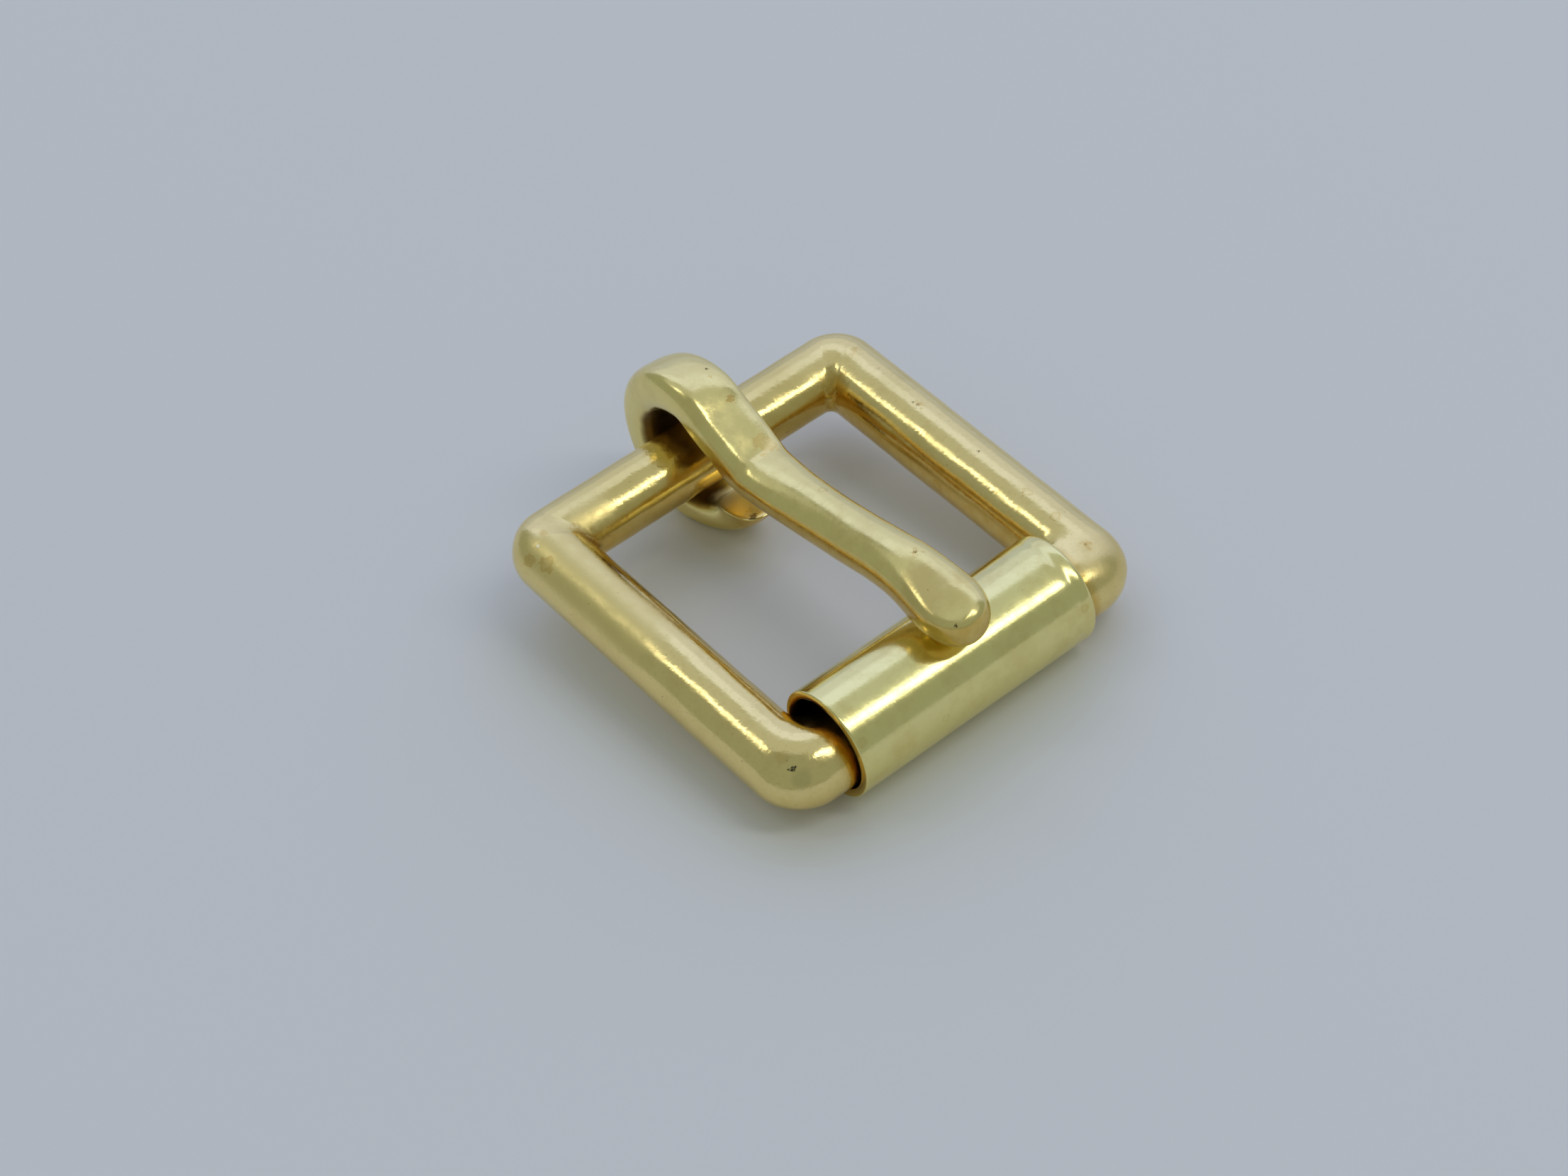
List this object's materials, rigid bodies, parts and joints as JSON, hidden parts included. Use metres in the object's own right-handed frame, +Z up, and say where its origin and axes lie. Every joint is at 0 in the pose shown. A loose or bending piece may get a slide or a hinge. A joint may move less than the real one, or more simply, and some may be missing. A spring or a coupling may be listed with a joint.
{
  "type": "roller buckle",
  "caption": "Roller buckle: a square brass loop with rounded corners, a loose tube roller on its front bar and a tongue curled round its back bar.",
  "frame": {"origin": "centre of the footprint, on the surface that the buckle lies on", "axes": "+Z up from the surface, +X along the front and back bars, +Y from the roller towards the back bar"},
  "size_m": [0.0284, 0.0328, 0.0118],
  "materials": {
    "frame_brass": "cast and tumbled, satin to polished, lightly tarnished",
    "roller_brass": "drawn tube, polished, with fine lengthwise lines",
    "tongue_brass": "cast and bent, polished, lightly tarnished"
  },
  "bodies": {
    "frame": {"frame": "frame_brass"},
    "roller": {"roller": "roller_brass"},
    "tongue": {"tongue": "tongue_brass"}
  },
  "joints": [
    {"name": "roller_spin", "type": "hinge", "parent": "frame", "child": "roller", "pos_m": [0, -0.01284, 0.0036], "axis": [1, 0, 0], "continuous": true},
    {"name": "tongue_swing", "type": "hinge", "parent": "frame", "child": "tongue", "pos_m": [0, 0.01084, 0.00499], "axis": [-1, 0, 0], "range_deg": [0, 175]}
  ]
}
